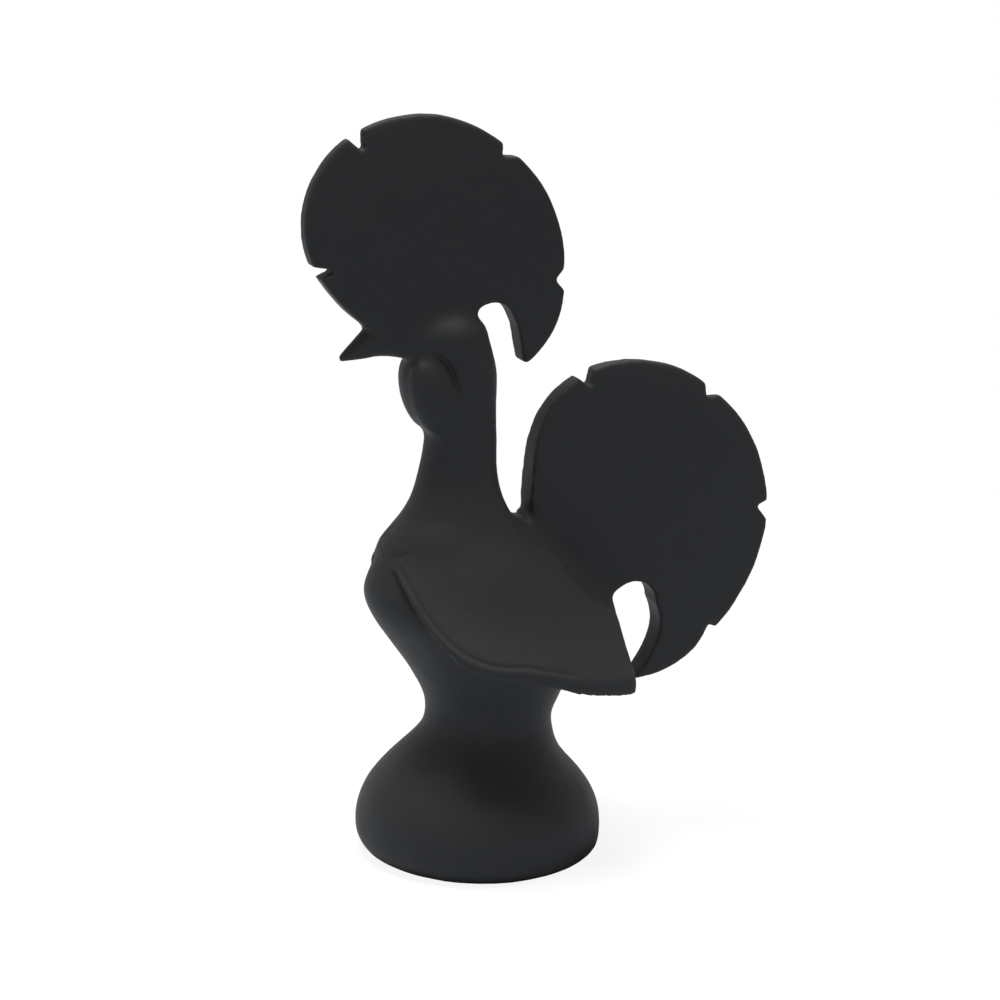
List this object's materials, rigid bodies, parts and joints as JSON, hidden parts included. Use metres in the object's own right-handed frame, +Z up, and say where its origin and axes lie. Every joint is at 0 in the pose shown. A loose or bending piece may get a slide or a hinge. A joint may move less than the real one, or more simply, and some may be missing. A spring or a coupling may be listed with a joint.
{
  "type": "rooster of barcelos",
  "caption": "Free-standing folk rooster in matt black fired clay, on a hollow bell foot, with a notched, hooked comb and a matching upright tail.",
  "frame": {"origin": "middle of the foot ring, on the surface that it stands on", "axes": "+Z up, the beak points along -X, the tail along +X, and Y = 0 is the plane of symmetry"},
  "size_m": [0.131, 0.0692, 0.1998],
  "materials": {
    "black_clay": "matt"
  },
  "bodies": {
    "root": {"base_bell": "black_clay", "torso": "black_clay", "neck": "black_clay", "head": "black_clay", "beak": "black_clay", "wattle_left": "black_clay", "wattle_right": "black_clay", "wing_left": "black_clay", "wing_right": "black_clay", "comb": "black_clay", "tail": "black_clay"}
  },
  "joints": []
}
